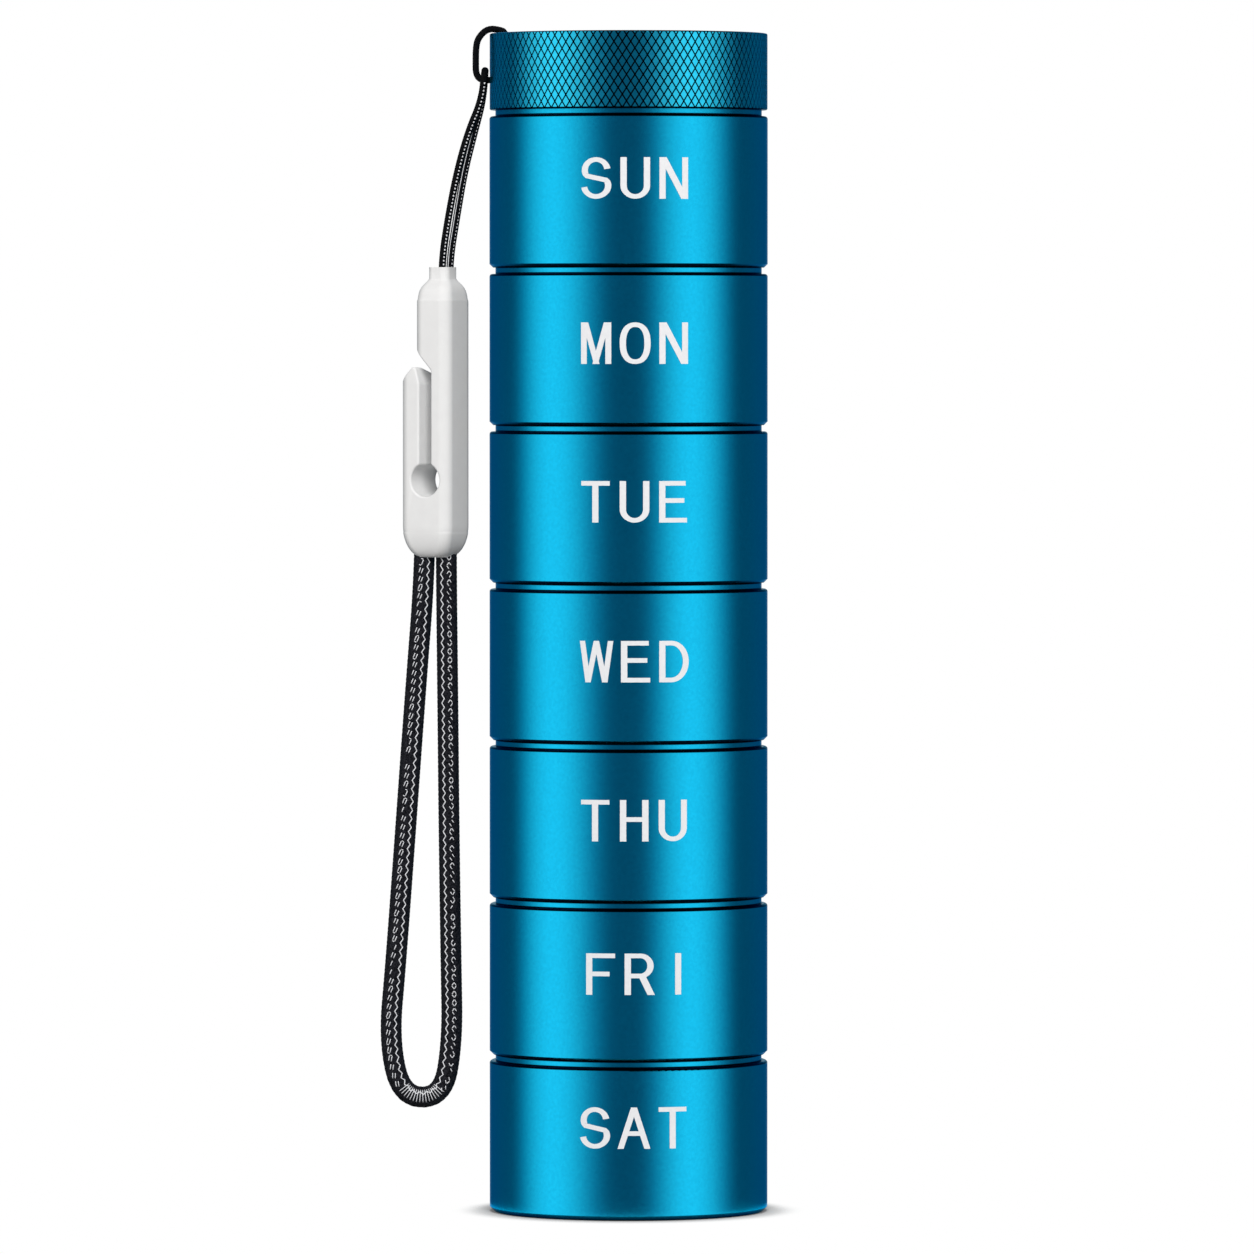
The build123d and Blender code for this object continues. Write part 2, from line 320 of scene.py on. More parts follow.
def new_object(name, vertices, faces, smooth=True):
    """Mesh object from vertices and faces."""
    mesh = bpy.data.meshes.new(name)
    mesh.from_pydata([tuple(v) for v in vertices], [], faces)
    mesh.polygons.foreach_set("use_smooth", [smooth] * len(mesh.polygons))
    mesh.update()
    piece = bpy.data.objects.new(name, mesh)
    bpy.context.scene.collection.objects.link(piece)
    return piece


def band(first, second):
    """Faces between two closed rows of as many points."""
    count = len(first)
    return [[first[k], first[(k + 1) % count], second[(k + 1) % count], second[k]] for k in range(count)]


def tube_faces(start, rows, around, cyclic=False):
    """Faces of a tube by the number of its first point; a tube that is no loop gets closed ends."""
    rings = [range(start + row * around, start + (row + 1) * around) for row in range(rows)]
    faces = []
    for first, second in zip(rings, rings[1:] + rings[:1] if cyclic else rings[1:]):
        faces += band(first, second)
    return faces if cyclic else faces + [list(rings[0]), list(rings[-1])]


def outward(piece):
    """Makes all faces of a closed mesh look outwards."""
    form = bmesh.new()
    form.from_mesh(piece.data)
    bmesh.ops.recalc_face_normals(form, faces=form.faces)
    form.to_mesh(piece.data)
    form.free()
    return piece


def combine(piece, other, operation):
    """Boolean of two closed meshes, kept in the first; the second goes."""
    step = piece.modifiers.new("combine", "BOOLEAN")
    step.object = other
    step.operation = operation
    step.solver = "EXACT"
    bpy.context.view_layer.update()
    shaped = bpy.data.meshes.new_from_object(piece.evaluated_get(bpy.context.evaluated_depsgraph_get()))
    piece.modifiers.clear()
    piece.data = shaped
    bpy.data.objects.remove(other)
    return piece


def crisp(piece, angle):
    """Smooth shading that breaks at edges sharper than the angle."""
    piece.data.polygons.foreach_set("use_smooth", [True] * len(piece.data.polygons))
    piece.data.set_sharp_from_angle(angle=math.radians(angle))
    return piece


def cad_copy(name, node):
    """Welded copy of a CAD node's mesh as a new object."""
    piece = bpy.data.objects.new(name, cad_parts[node].data.copy())
    bpy.context.scene.collection.objects.link(piece)
    form = bmesh.new()
    form.from_mesh(piece.data)
    bmesh.ops.remove_doubles(form, verts=form.verts, dist=weld_reach)
    form.to_mesh(piece.data)
    form.free()
    layers = piece.data.attributes
    for layer in [layer.name for layer in layers if layer.name in ("custom_normal", "sharp_face")]:
        layers.remove(layers[layer])
    return piece


def dress(piece, material, body):
    """Material, body and material slot of a new piece; the metal does not mirror the lanyard."""
    piece.data.materials.clear()
    piece.data.materials.append(material)
    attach(piece, body)
    piece.visible_glossy = body != "lanyard"
    return piece


# Nodes

def add_node(tree, kind, inputs):
    """New node whose inputs take numbers, colours or the outputs of other nodes."""
    node = tree.nodes.new(kind)
    fill(tree, node, inputs)
    return node


def fill(tree, node, inputs):
    """Sets or links a node's inputs, by their names or places."""
    for name, value in inputs.items():
        if isinstance(value, bpy.types.NodeSocket):
            tree.links.new(value, node.inputs[name])
        else:
            node.inputs[name].default_value = value


def math_node(tree, operation, *values):
    """Math node with numbers or sockets as inputs."""
    node = add_node(tree, "ShaderNodeMath", dict(enumerate(values)))
    node.operation = operation
    return node.outputs[0]


def map_range(tree, value, source, target=(0, 1), smooth=False):
    """A value brought from one range into another, and held at its ends."""
    node = add_node(tree, "ShaderNodeMapRange", {
        "Value": value, "From Min": source[0], "From Max": source[1],
        "To Min": target[0], "To Max": target[1]})
    if smooth:
        node.interpolation_type = "SMOOTHSTEP"
    return node.outputs["Result"]


def mixed(tree, share, first, second):
    """A colour between two others, by the share of the second."""
    node = tree.nodes.new("ShaderNodeMix")
    node.data_type = "RGBA"
    fill(tree, node, {"Factor": share, MIX_FIRST: first, MIX_SECOND: second})
    return node.outputs[MIX_RESULT]


def ramp(tree, value, stops, low_color, high_color):
    """Colour ramp between two colours over a part of a value's range."""
    node = add_node(tree, "ShaderNodeValToRGB", {"Fac": value})
    for element, stop, color in zip(node.color_ramp.elements, stops, (low_color, high_color)):
        element.position = stop
        element.color = (*color, 1)
    return node.outputs["Color"]


def own_place(tree):
    """The object's own coordinates."""
    return tree.nodes.new("ShaderNodeTexCoord").outputs["Object"]


def noise(tree, grain):
    """Noise over the object's own coordinates, by its cycles per metre and its detail."""
    node = add_node(tree, "ShaderNodeTexNoise", {
        "Vector": own_place(tree), "Scale": grain[0], "Detail": grain[1]})
    return node.outputs["Fac"]


def openness(tree, reach):
    """Node that tells how open a place is to its surroundings within a reach."""
    return add_node(tree, "ShaderNodeAmbientOcclusion", {"Distance": reach})


def show(tree, shader):
    """Puts a shader on the surface of a material."""
    add_node(tree, "ShaderNodeOutputMaterial", {"Surface": shader.outputs[0]})


# Materials

def finished(name, finish, low_color, high_color):
    """Material with a fine grain in its colour, gloss and surface; also its shader and its colour."""
    material = bpy.data.materials.new(name)
    material.use_nodes = True
    tree = material.node_tree
    shader = tree.nodes["Principled BSDF"]
    color = ramp(tree, noise(tree, finish["color"]), finish["color_shares"], low_color, high_color)
    strength, distance = finish["bump"]
    relief = add_node(tree, "ShaderNodeBump", {
        "Strength": strength, "Distance": distance, "Height": noise(tree, finish["surface"])})
    fill(tree, shader, {"Base Color": color, "Normal": relief.outputs["Normal"]})
    if "gloss" in finish:
        gloss = noise(tree, finish["gloss"])
        fill(tree, shader, {"Roughness": map_range(tree, gloss, (0, 1), finish["roughness"])})
    return material, shader, color


def painted_gap_shade(tree, color):
    """Painted shade: a colour that falls to a dark one in narrow gaps, where soft light does not reach."""
    near = openness(tree, gap_shade_reach)
    near.samples = gap_shade_samples
    share = map_range(tree, near.outputs["AO"], gap_shade_open_shares)
    return mixed(tree, share, (*ANODISED_PAINTED_SHADE, 1), color)


def painted_groove_shade(tree, color):
    """A colour with painted shade lines above and below each groove between the turned pieces."""
    parts = add_node(tree, "ShaderNodeSeparateXYZ", {0: own_place(tree)})
    squares = [math_node(tree, "MULTIPLY", parts.outputs[axis], parts.outputs[axis]) for axis in "XY"]
    around = math_node(tree, "ADD", *squares)
    outside = math_node(tree, "GREATER_THAN", around, (body_radius - groove_shade_depth) ** 2)
    over = math_node(tree, "ADD", parts.outputs["Z"], cup_pitch / 2 - cup_foot["sat"])
    rise = math_node(tree, "SUBTRACT", math_node(tree, "MODULO", over, cup_pitch), cup_pitch / 2)
    share = 0.0
    for middle, half in groove_shade_lines:
        away = math_node(tree, "ABSOLUTE", math_node(tree, "SUBTRACT", rise, middle))
        line = map_range(tree, away, (half + groove_shade_soft, half - groove_shade_soft), smooth=True)
        share = math_node(tree, "MAXIMUM", line, share)
    return mixed(tree, math_node(tree, "MULTIPLY", share, outside), color, (*PAINTED_GROOVE_SHADE, 1))


def anodised(name, deep, light):
    """Satin blue anodised aluminium with a fine blasted grain, painted shade in narrow gaps and painted shade
    lines at the grooves.
    """
    material, shader, color = finished(name, ANODISED, deep, light)
    tree = material.node_tree
    # The blue with painted gap shade and painted groove shade lines
    blue = painted_groove_shade(tree, painted_gap_shade(tree, color))
    fill(tree, shader, {"Metallic": 1.0, "Specular Tint": (*ANODISED_EDGE, 1), "Base Color": blue})
    return material


def cord_yarn(name, dark, sheen):
    """Black braided yarn: fine filaments with a soft sheen."""
    material, shader, _ = finished(name, CORD_YARN, dark, sheen)
    shader.inputs["Specular IOR Level"].default_value = yarn_specular
    return material


def tracer_yarn():
    """White reflective thread."""
    material, shader, _ = finished("tracer_yarn", TRACER_YARN, TRACER_DULL, TRACER_WHITE)
    shader.inputs["Roughness"].default_value = tracer_roughness
    shader.inputs["Sheen Weight"].default_value = tracer_sheen
    return material


# Knurled cap

def knurl_point(step, row, radius):
    """Point of the knurl's lattice, counted in half diamonds round and up."""
    angle = math.pi * step / knurl_count
    low = cap_foot - knurl_overrun_rows * knurl_pitch
    return (radius * math.cos(angle), radius * math.sin(angle), low + knurl_pitch * row / 2)


def knurl_prism():
    """Closed prism with a diamond knurl round it, taller than the cap at both ends."""
    peak = body_radius - knurl_inset
    around = 2 * knurl_count
    rows = 2 * (math.ceil((cap_top - cap_foot) / knurl_pitch) + 2 * knurl_overrun_rows)
    points = []
    faces = []
    grooves = {}
    for row in range(rows + 1):
        for step in range(row % 2, around, 2):
            grooves[step, row] = len(points)
            points.append(knurl_point(step, row, peak - knurl_depth))
    for row in range(1, rows):
        for step in range((row + 1) % 2, around, 2):
            outer = [grooves[(step + side) % around, row + up] for side, up in DIAMOND_SIDES]
            inner = [len(points) + k for k in range(len(DIAMOND_SIDES))]
            for side, up in DIAMOND_SIDES:
                points.append(knurl_point(step + side * knurl_flat_share, row + up * knurl_flat_share, peak))
            faces += [inner] + band(outer, inner)
    for row, edge in ((0, 1), (rows, rows - 1)):
        hub = len(points)
        points.append(knurl_point(0, row, 0))
        rim = [grooves[step, row if (step + row) % 2 == 0 else edge] for step in range(around)]
        faces.extend([rim[k], rim[(k + 1) % around], hub] for k in range(around))
    return outward(new_object("knurl", points, faces, smooth=False))


def knurled_cap(material):
    """The cap with its knurl, cut to the turned cap's own edges, socket and eyelet."""
    cap = combine(cad_copy("knurled_cap", "cap"), knurl_prism(), "INTERSECT")
    crisp(cap, knurl_crease)
    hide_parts("cap")
    return dress(cap, material, "cap")


# Threads

def thread(name, wall, inward, joint):
    """Helical ridges of a two-start thread on a round wall, by the height of the joint between two pieces."""
    sense = -1 if inward else 1
    crest = wall + sense * thread_height
    root = wall - sense * thread_sink
    phase = socket_phase_share if inward else 0
    points = []
    faces = []
    for start in range(thread_starts):
        first = len(points)
        for share in np.linspace(0, 1, thread_steps + 1):
            rise = share * (thread_high - thread_low)
            turn = 2 * math.pi * (rise / thread_lead + (start + phase) / thread_starts)
            tip = root + min(1, share / thread_fade_share, (1 - share) / thread_fade_share) * (crest - root)
            profile = ((root, -thread_root), (tip, -thread_crest), (tip, thread_crest), (root, thread_root))
            for radius, offset in profile:
                height = joint + thread_low + rise + offset / 2
                points.append((radius * math.cos(turn), radius * math.sin(turn), height))
        faces += tube_faces(first, thread_steps + 1, len(profile))
    return crisp(outward(new_object(name, points, faces)), thread_crease)


def threads(material):
    """Neck thread on every cup, and socket thread in every cup but the lowest and in the cap."""
    for day in DAYS:
        male = thread(f"neck_thread_{day}", neck_radius, False, cup_foot[day] + cup_pitch)
        dress(male, material, f"cup_{day}")
    for owner, foot in [(f"cup_{day}", cup_foot[day]) for day in DAYS[1:]] + [("cap", cap_foot)]:
        female = thread(f"socket_thread_{owner}", socket_radius, True, foot)
        dress(female, material, owner)


# Weekday marks

def prism(outline):
    """Closed plate of an outline, from below the surface to its proud face, with the depth as Z."""
    points = [(x, y, depth) for depth in (-mark_sink, mark_proud) for x, y in outline]
    return points, tube_faces(0, 2, len(outline))


def pen(path, closed=False):
    """Closed plate of a pen stroke along a path; the pen is as wide as a stem and as high as a beam."""
    points = []
    for k, (x, y) in enumerate(path):
        before = path[k - 1] if closed or k else path[0]
        after = path[(k + 1) % len(path)] if closed or k < len(path) - 1 else path[-1]
        run = Vector((after[0] - before[0], after[1] - before[1])).normalized()
        wide = -run.y * mark_stem / 2
        high = run.x * mark_beam / 2
        left = (x + wide, y + high)
        right = (x - wide, y - high)
        points += [(*left, -mark_sink), (*right, -mark_sink), (*right, mark_proud), (*left, mark_proud)]
    return points, tube_faces(0, len(path), len(points) // len(path), closed)


def arc(center, radii, angles, steps):
    """Points along an elliptic arc, between angles in degrees."""
    turns = np.radians(np.linspace(*angles, steps + 1))
    return [(center[0] + radii[0] * math.cos(t), center[1] + radii[1] * math.sin(t)) for t in turns]


def bar(left, right, low, high):
    """Plate of an upright rectangle."""
    return prism([(left, low), (right, low), (right, high), (left, high)])


def stem(letter, thick_share, place_share):
    """Upright stroke, by its thickness and its place between the letter's sides."""
    thick = thick_share * mark_stem
    left = place_share * (letter_widths[letter] - thick)
    return bar(left, left + thick, 0, mark_height)


def beam(letter, start_share, end_share, rise_share):
    """Level stroke, by its ends over the letter's width and its middle over the letter's height."""
    low = min(max(rise_share * mark_height - mark_beam / 2, 0), mark_height - mark_beam)
    return bar(start_share * letter_widths[letter], end_share * letter_widths[letter], low, low + mark_beam)


def slant(letter, thick_share, low_share, high_share, top_share):
    """Slanted stroke with level ends, by its thickness, the places of its ends and its height."""
    thick = thick_share * mark_slant
    low = low_share * (letter_widths[letter] - thick)
    high = high_share * (letter_widths[letter] - thick)
    top = top_share * mark_height
    return prism([(low, 0), (low + thick, 0), (high + thick, top), (high, top)])


def bowl(letter, bend_share, reach_share, foot_share):
    """Half round on a stem, by where it starts to bend, how far it reaches and its foot."""
    width = letter_widths[letter]
    top = mark_height - mark_beam / 2
    low = max(foot_share * mark_height, mark_beam / 2)
    radii = ((reach_share - bend_share) * width - mark_stem / 2, (top - low) / 2)
    curve = arc((bend_share * width, (top + low) / 2), radii, bowl_angles, round_steps[letter])
    return pen([(mark_stem / 2, top)] + curve + [(mark_stem / 2, low)])


def trough(letter, bend_share):
    """Two upright strokes that a half round joins below."""
    half = letter_widths[letter] / 2
    bend = bend_share * mark_height
    reach = half - mark_stem / 2
    curve = arc((half, bend), (reach, bend - mark_beam / 2), trough_angles, round_steps[letter])
    return pen([(half - reach, mark_height)] + curve + [(half + reach, mark_height)])


def oval(letter, round_share):
    """Closed round stroke, a little squarer than an ellipse."""
    half = letter_widths[letter] / 2
    reach = half - mark_stem / 2
    rise = (mark_height - mark_beam) / 2
    path = []
    for k in range(round_steps[letter]):
        turn = 2 * math.pi * k / round_steps[letter]
        across, up = (math.copysign(abs(v) ** round_share, v) for v in (math.cos(turn), math.sin(turn)))
        path.append((half + across * reach, mark_height / 2 + up * rise))
    return pen(path, closed=True)


def double_bend(letter, upper_share, bend_share):
    """Two open rounds that run into each other, the upper one a little narrower."""
    half = letter_widths[letter] / 2
    reach = half - mark_stem / 2
    bend = bend_share * mark_height
    low = mark_beam / 2 + bend
    upper = arc((half, mark_height - low), (upper_share * reach, bend), upper_angles, round_steps[letter])
    lower = arc((half, low), (reach, bend), lower_angles, round_steps[letter])
    return pen(upper + lower)


STROKES = {"stem": stem, "beam": beam, "slant": slant, "bowl": bowl, "trough": trough, "oval": oval,
           "double_bend": double_bend}


def wrapped(piece, foot):
    """Slices a flat plate along its width and wraps it round the cup, with its front at -Y."""
    form = bmesh.new()
    form.from_mesh(piece.data)
    left = min(v.co.x for v in form.verts)
    right = max(v.co.x for v in form.verts)
    for k in range(1, math.ceil((right - left) / mark_slice)):
        every = form.verts[:] + form.edges[:] + form.faces[:]
        bmesh.ops.bisect_plane(form, geom=every, plane_co=(left + k * mark_slice, 0, 0), plane_no=(1, 0, 0))
    for v in form.verts:
        turn = v.co.x / body_radius
        radius = body_radius + v.co.z
        v.co = Vector((radius * math.sin(turn), -radius * math.cos(turn), foot + v.co.y))
    form.to_mesh(piece.data)
    form.free()
    return outward(piece)


def letter_plate(name, letter, left):
    """Flat plate of a letter, with all its strokes in one, from its left edge and the baseline."""
    plate = None
    for kind, *shares in letter_shares[letter]:
        points, faces = STROKES[kind](letter, *shares)
        stroke = outward(new_object(name, [(x + left, y, z) for x, y, z in points], faces))
        plate = combine(plate, stroke, "UNION") if plate else stroke
    return plate


def weekday_mark(day, material):
    """The three letters of a weekday on its cup."""
    name = f"mark_{day}"
    foot = cup_foot[day] + mark_rises.get(day, mark_rise) - mark_height / 2
    plates = []
    for place, letter in enumerate(day.upper()):
        left = mark_turn + mark_shifts[day] + (place - 1) * mark_pitch - letter_widths[letter] / 2
        plates.append(wrapped(letter_plate(name, letter, left), foot))
    form = bmesh.new()
    for plate in plates:
        form.from_mesh(plate.data)
    mark = plates[0]
    form.to_mesh(mark.data)
    form.free()
    for plate in plates[1:]:
        bpy.data.objects.remove(plate)
    mark.name = name
    return dress(crisp(mark, mark_crease), material, f"cup_{day}")


# Cords

def spline_points(route, cyclic):
    """Points along the smooth line of a route, as the spline with the route's points gives them."""
    curve = bpy.data.curves.new("route", "CURVE")
    curve.dimensions = "3D"
    spline = curve.splines.new("NURBS")
    spline.points.add(len(route) - 1)
    for point, offset in zip(spline.points, route):
        point.co = (*(hang + Vector(offset)), 1)
    spline.order_u = spline_order
    spline.use_endpoint_u = not cyclic
    spline.use_cyclic_u = cyclic
    spline.resolution_u = spline_resolution
    line = bpy.data.objects.new("route", curve)
    mesh = bpy.data.meshes.new_from_object(line)
    points = np.array([v.co for v in mesh.vertices])
    bpy.data.objects.remove(line)
    bpy.data.curves.remove(curve)
    bpy.data.meshes.remove(mesh)
    return np.vstack([points, points[:1]]) if cyclic else points


def unit(rows):
    """Rows of directions at length one."""
    return rows / np.linalg.norm(rows, axis=1)[:, None]


def between(places, along, rows):
    """Rows that are known at distances along a line, at other places on it."""
    return np.stack([np.interp(places, along, column) for column in rows.T], 1)


def path_frames(points):
    """Unit front and side directions along a line, carried along without twist from a front at -Y."""
    tangents = unit(np.gradient(points, axis=0))
    fronts = [FRONT]
    for before, after in zip(tangents, tangents[1:]):
        turn = Vector(before).rotation_difference(Vector(after))
        front = turn @ fronts[-1]
        fronts.append((front - front.dot(Vector(after)) * Vector(after)).normalized())
    fronts = np.array(fronts)
    return fronts, np.cross(tangents, fronts)


def cord_course(route, braid, cyclic=False):
    """A route's line at even steps: points, distances along it, and front and side directions."""
    line = spline_points(route, cyclic)
    runs = np.linalg.norm(np.diff(line, axis=0), axis=1)
    along = np.concatenate([[0], np.cumsum(runs)])
    places = np.linspace(0, along[-1], max(2, round(along[-1] / braid["step"])) + 1)
    points = between(places, along, line)
    fronts, sides = path_frames(points)
    return {"points": points, "along": places, "fronts": fronts, "sides": sides}


def braid_height(turns, along, braid):
    """Height of an over-and-under braid, from 0 to 1, at angles and distances along a cord."""
    lift = along * braid["strands"] / braid["turn"]
    left = braid["strands"] * turns / (2 * math.pi) + lift
    right = braid["strands"] * turns / (2 * math.pi) - lift
    over = (np.floor(left) + np.floor(right)) % 2
    first = np.sin(math.pi * (np.where(over > 0, left, right) % 1))
    second = np.sin(math.pi * (np.where(over > 0, right, left) % 1))
    return np.sqrt(first) * (braid_edge_share + (1 - braid_edge_share) * second)


def rings_round(points, fronts, sides, turns, radii):
    """Rings of points round a line, at the same turns all along it."""
    forward = np.cos(turns)[None, :, None] * fronts[:, None, :]
    sideways = np.sin(turns)[None, :, None] * sides[:, None, :]
    return points[:, None, :] + radii * (forward + sideways)


def braided_tube(name, course, diameter, braid, cyclic=False):
    """Closed braided cord along its course."""
    turns = 2 * math.pi * np.arange(braid["sides"]) / braid["sides"]
    heights = braid_height(turns[None, :], course["along"][:, None], braid)
    radii = diameter / 2 - braid["relief"] * (1 - heights)
    rings = rings_round(course["points"], course["fronts"], course["sides"], turns, radii[..., None])
    if cyclic:
        rings = rings[:-1]
    return outward(new_object(name, rings.reshape(-1, 3), tube_faces(0, *rings.shape[:2], cyclic)))


def thread_tubes(name, lines, diameter):
    """Thin threads along several lines, with closed ends, as one piece; no thread runs along the guide."""
    turns = 2 * math.pi * np.arange(tracer_sides) / tracer_sides
    points = []
    faces = []
    for line in lines:
        tangents = unit(np.gradient(line, axis=0))
        across = unit(np.cross(tangents, THREAD_GUIDE))
        rings = rings_round(line, across, np.cross(tangents, across), turns, diameter / 2)
        faces += tube_faces(len(points), len(line), tracer_sides)
        points.extend(rings.reshape(-1, 3))
    return outward(new_object(name, points, faces))


def on_cord(course, places, face, angles, radius):
    """Points at distances along a cord and angles from one of its faces."""
    rows = ("points", "fronts", "sides")
    center, front, side = (between(places, course["along"], course[row]) for row in rows)
    turns = face + math.cos(face) * np.broadcast_to(angles, len(places))
    return center + radius * (np.cos(turns)[:, None] * front + np.sin(turns)[:, None] * side)


def zigzag(course, face, radius):
    """Zigzag thread along a face of the wrist cord."""
    knots = np.arange(tracer_margin, course["along"][-1] - tracer_margin, zigzag_pitch / 2)
    places = np.arange(tracer_margin, knots[-1], zigzag_pitch / zigzag_steps)
    swing = np.interp(places, knots, np.where(np.arange(len(knots)) % 2, zigzag_half, -zigzag_half))
    return on_cord(course, places, face, zigzag_angle + swing / radius, radius)


def fan(course, face, radius, bend):
    """Short threads across a face of the wrist cord, side by side round its bend."""
    angles = np.linspace(fan_low, fan_high, fan_steps)
    middles = np.arange(bend[0], bend[-1], fan_pitch)
    return [on_cord(course, np.full(fan_steps, middle), face, angles, radius) for middle in middles]


def diamonds(course, face, radius, bend, drops):
    """Broken diamonds along a face of the wrist cord, one shape for each strand and none round the bend."""
    length = course["along"][-1]
    run = np.linspace(diamond_gap_share, 1 - diamond_gap_share, diamond_steps)[:, None]
    lines = []
    for middle in np.arange(tracer_margin, length - tracer_margin, diamond_pitch):
        strand = int(middle > length / 2)
        corners = np.array(diamond_corner_shares[strand])
        for side, (first, last) in enumerate(zip(corners, np.roll(corners, -1, axis=0))):
            if bend[0] < middle < bend[-1] or drops.random() < diamond_drop_shares[strand][side % 2]:
                continue
            across, lift = (first + run * (last - first)).T
            places = middle + lift * diamond_length / 2
            angles = diamond_angle + across * diamond_half / radius
            lines.append(on_cord(course, places, face, angles, radius))
    return lines


def wrist_tracers(course, material):
    """White zigzag, broken diamonds beside it and a fan round the bend, on both faces of the wrist cord."""
    radius = wrist_cord_dia / 2
    heights = course["points"][:, 2]
    bend = course["along"][heights < heights.min() + fan_rise]
    drops = np.random.default_rng(diamond_seed)
    zigzags = [zigzag(course, face, radius) for face in FACES]
    fans = [line for face in FACES for line in fan(course, face, radius, bend)]
    dashes = [line for face in FACES for line in diamonds(course, face, radius, bend, drops)]
    for name, lines, diameter in (("wrist_zigzag", zigzags, tracer_dia), ("wrist_fan", fans, fan_dia),
                                  ("wrist_diamonds", dashes, diamond_thread_dia)):
        dress(thread_tubes(name, lines, diameter), material, "lanyard")


def dots(course, strand, face, angle, diameter):
    """Row of short thread ends along a strand of the strap."""
    radius = thin_cord_dia / 2 - dot_sink_share * diameter
    run = np.linspace(0, dot_length, dot_steps)
    starts = np.arange(strand[0], strand[-1], dot_pitch)
    return [on_cord(course, start + run, face, angle, radius) for start in starts]


def strap_tracers(course, material):
    """White dots on the strap's left strand, and a fine line and specks on its right strand, all in front."""
    along = course["along"]
    low = along[course["points"][:, 2] < hang.z - tracer_drop]
    left = low[low < along[-1] / 2]
    right = low[low > along[-1] / 2]
    large = dots(course, left, FACES[0], dot_angle, dot_dia)
    specks = dots(course, right, FACES[1], speck_angle, speck_dia)
    fine = [on_cord(course, right, FACES[1], fine_line_angle, thin_cord_dia / 2)]
    for name, lines, diameter in (("strap_dots", large, dot_dia), ("strap_specks", specks, speck_dia),
                                  ("strap_fine_line", fine, fine_line_dia)):
        dress(thread_tubes(name, lines, diameter), material, "lanyard")


def cords():
    """Tether through the eyelet, the doubled strap and the wrist loop."""
    yarn = cord_yarn("cord_yarn", CORD_BLACK, CORD_SHEEN)
    tracer = tracer_yarn()
    thick_yarn = cord_yarn("wrist_yarn", WRIST_BLACK, WRIST_SHEEN)
    tether_course = cord_course(tether_route, thin_braid, cyclic=True)
    tether = braided_tube("tether_braid", tether_course, tether_dia, thin_braid, cyclic=True)
    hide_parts("tether_loop")
    dress(tether, yarn, "cap")
    strap_course = cord_course(strap_route, thin_braid)
    strap = braided_tube("strap_braid", strap_course, thin_cord_dia, thin_braid)
    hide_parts("strap_cord")
    dress(strap, yarn, "lanyard")
    strap_tracers(strap_course, tracer)
    wrist_course = cord_course(wrist_route, wrist_braid)
    wrist = braided_tube("wrist_braid", wrist_course, wrist_cord_dia, wrist_braid)
    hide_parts("wrist_cord")
    dress(wrist, thick_yarn, "lanyard")
    wrist_tracers(wrist_course, tracer)


# Cups and sealing rings, which keep their CAD shape

def finish_nodes(metal):
    """Materials of the cups and the sealing rings."""
    seal, _, _ = finished("seal_rubber", SEAL_RUBBER, RUBBER_BLACK, RUBBER_DULL)
    for day in DAYS:
        for node, material in ((f"cup_{day}", metal), (f"o_ring_{day}", seal)):
            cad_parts[node].data.materials.clear()
            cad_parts[node].data.materials.append(material)


# Hook clip

def clip_ring(rise, share, lift):
    """Rounded section of the clip's foot, by its place down the foot and its share of the inset."""
    half_width = clip_width / 2 - share * clip_end_width_inset + lift
    half_depth = clip_depth / 2 - share * clip_end_depth_inset + lift
    height = clip_end_height * (1 - rise)
    across = Vector((math.cos(clip_turn), -math.sin(clip_turn), 0))
    deep = Vector((math.sin(clip_turn), math.cos(clip_turn), 0))
    ring = []
    for quarter, (side, face) in enumerate(CORNER_SIDES):
        for step in range(clip_corner_steps + 1):
            turn = math.pi / 2 * (quarter + step / clip_corner_steps)
            u = side * (half_width - clip_corner) + clip_corner * math.cos(turn)
            v = face * (half_depth - clip_corner) + clip_corner * math.sin(turn)
            ring.append(clip_foot + u * across + v * deep + Vector((0, 0, height)))
    return ring


def clip_end():
    """Closed lower end of the clip's foot, just proud of the moulded one but for its sunk upper edge."""
    rings = []
    for rise in np.linspace(clip_end_start_share, 1, clip_end_steps):
        share = 1 - math.sqrt(1 - (1 - clip_end_flat_share ** 2) * rise ** 2)
        rings.append(clip_ring(rise, share, 0 if rings else -clip_end_skin))
    for point in rings[-1]:
        point.z -= clip_end_skin
    points = [point for ring in rings for point in ring]
    return outward(new_object("clip_end", points, tube_faces(0, len(rings), len(rings[0]))))


def hook_clip(material):
    """The clip with even shading over its roundings and its foot closed round the cords."""
    clip = combine(cad_copy("hook_clip", "lanyard_clip"), clip_end(), "UNION")
    crisp(clip, clip_crease)
    shading = clip.modifiers.new("even_shading", "WEIGHTED_NORMAL")
    shading.keep_sharp = True
    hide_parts("lanyard_clip")
    return dress(clip, material, "lanyard")


# Studio

def background_rays(tree):
    """1 for the rays that show a background: camera, glossy and transmission rays."""
    path = tree.nodes.new("ShaderNodeLightPath")
    value = path.outputs["Is Camera Ray"]
    for name in ("Is Glossy Ray", "Is Transmission Ray"):
        value = math_node(tree, "MAXIMUM", value, path.outputs[name])
    return value


def room():
    """White background over a plain grey room light."""
    world = bpy.data.worlds.new("room")
    bpy.context.scene.world = world
    world.use_nodes = True
    tree = world.node_tree
    strength = map_range(tree, background_rays(tree), (0, 1), (room_light, 1))
    fill(tree, tree.nodes["Background"], {"Color": (*WHITE, 1), "Strength": strength})


def circle(radius, height):
    """Points round a level circle."""
    turns = [2 * math.pi * k / wall_steps for k in range(wall_steps)]
    return [(radius * math.cos(t), radius * math.sin(t), height) for t in turns]


def disc(name, radius, height):
    """Level round plate."""
    return new_object(name, circle(radius, height), [list(range(wall_steps))])


def bare_material(name):
    """Material with an empty node tree; also the tree."""
    material = bpy.data.materials.new(name)
    material.use_nodes = True
    material.node_tree.nodes.clear()
    return material, material.node_tree


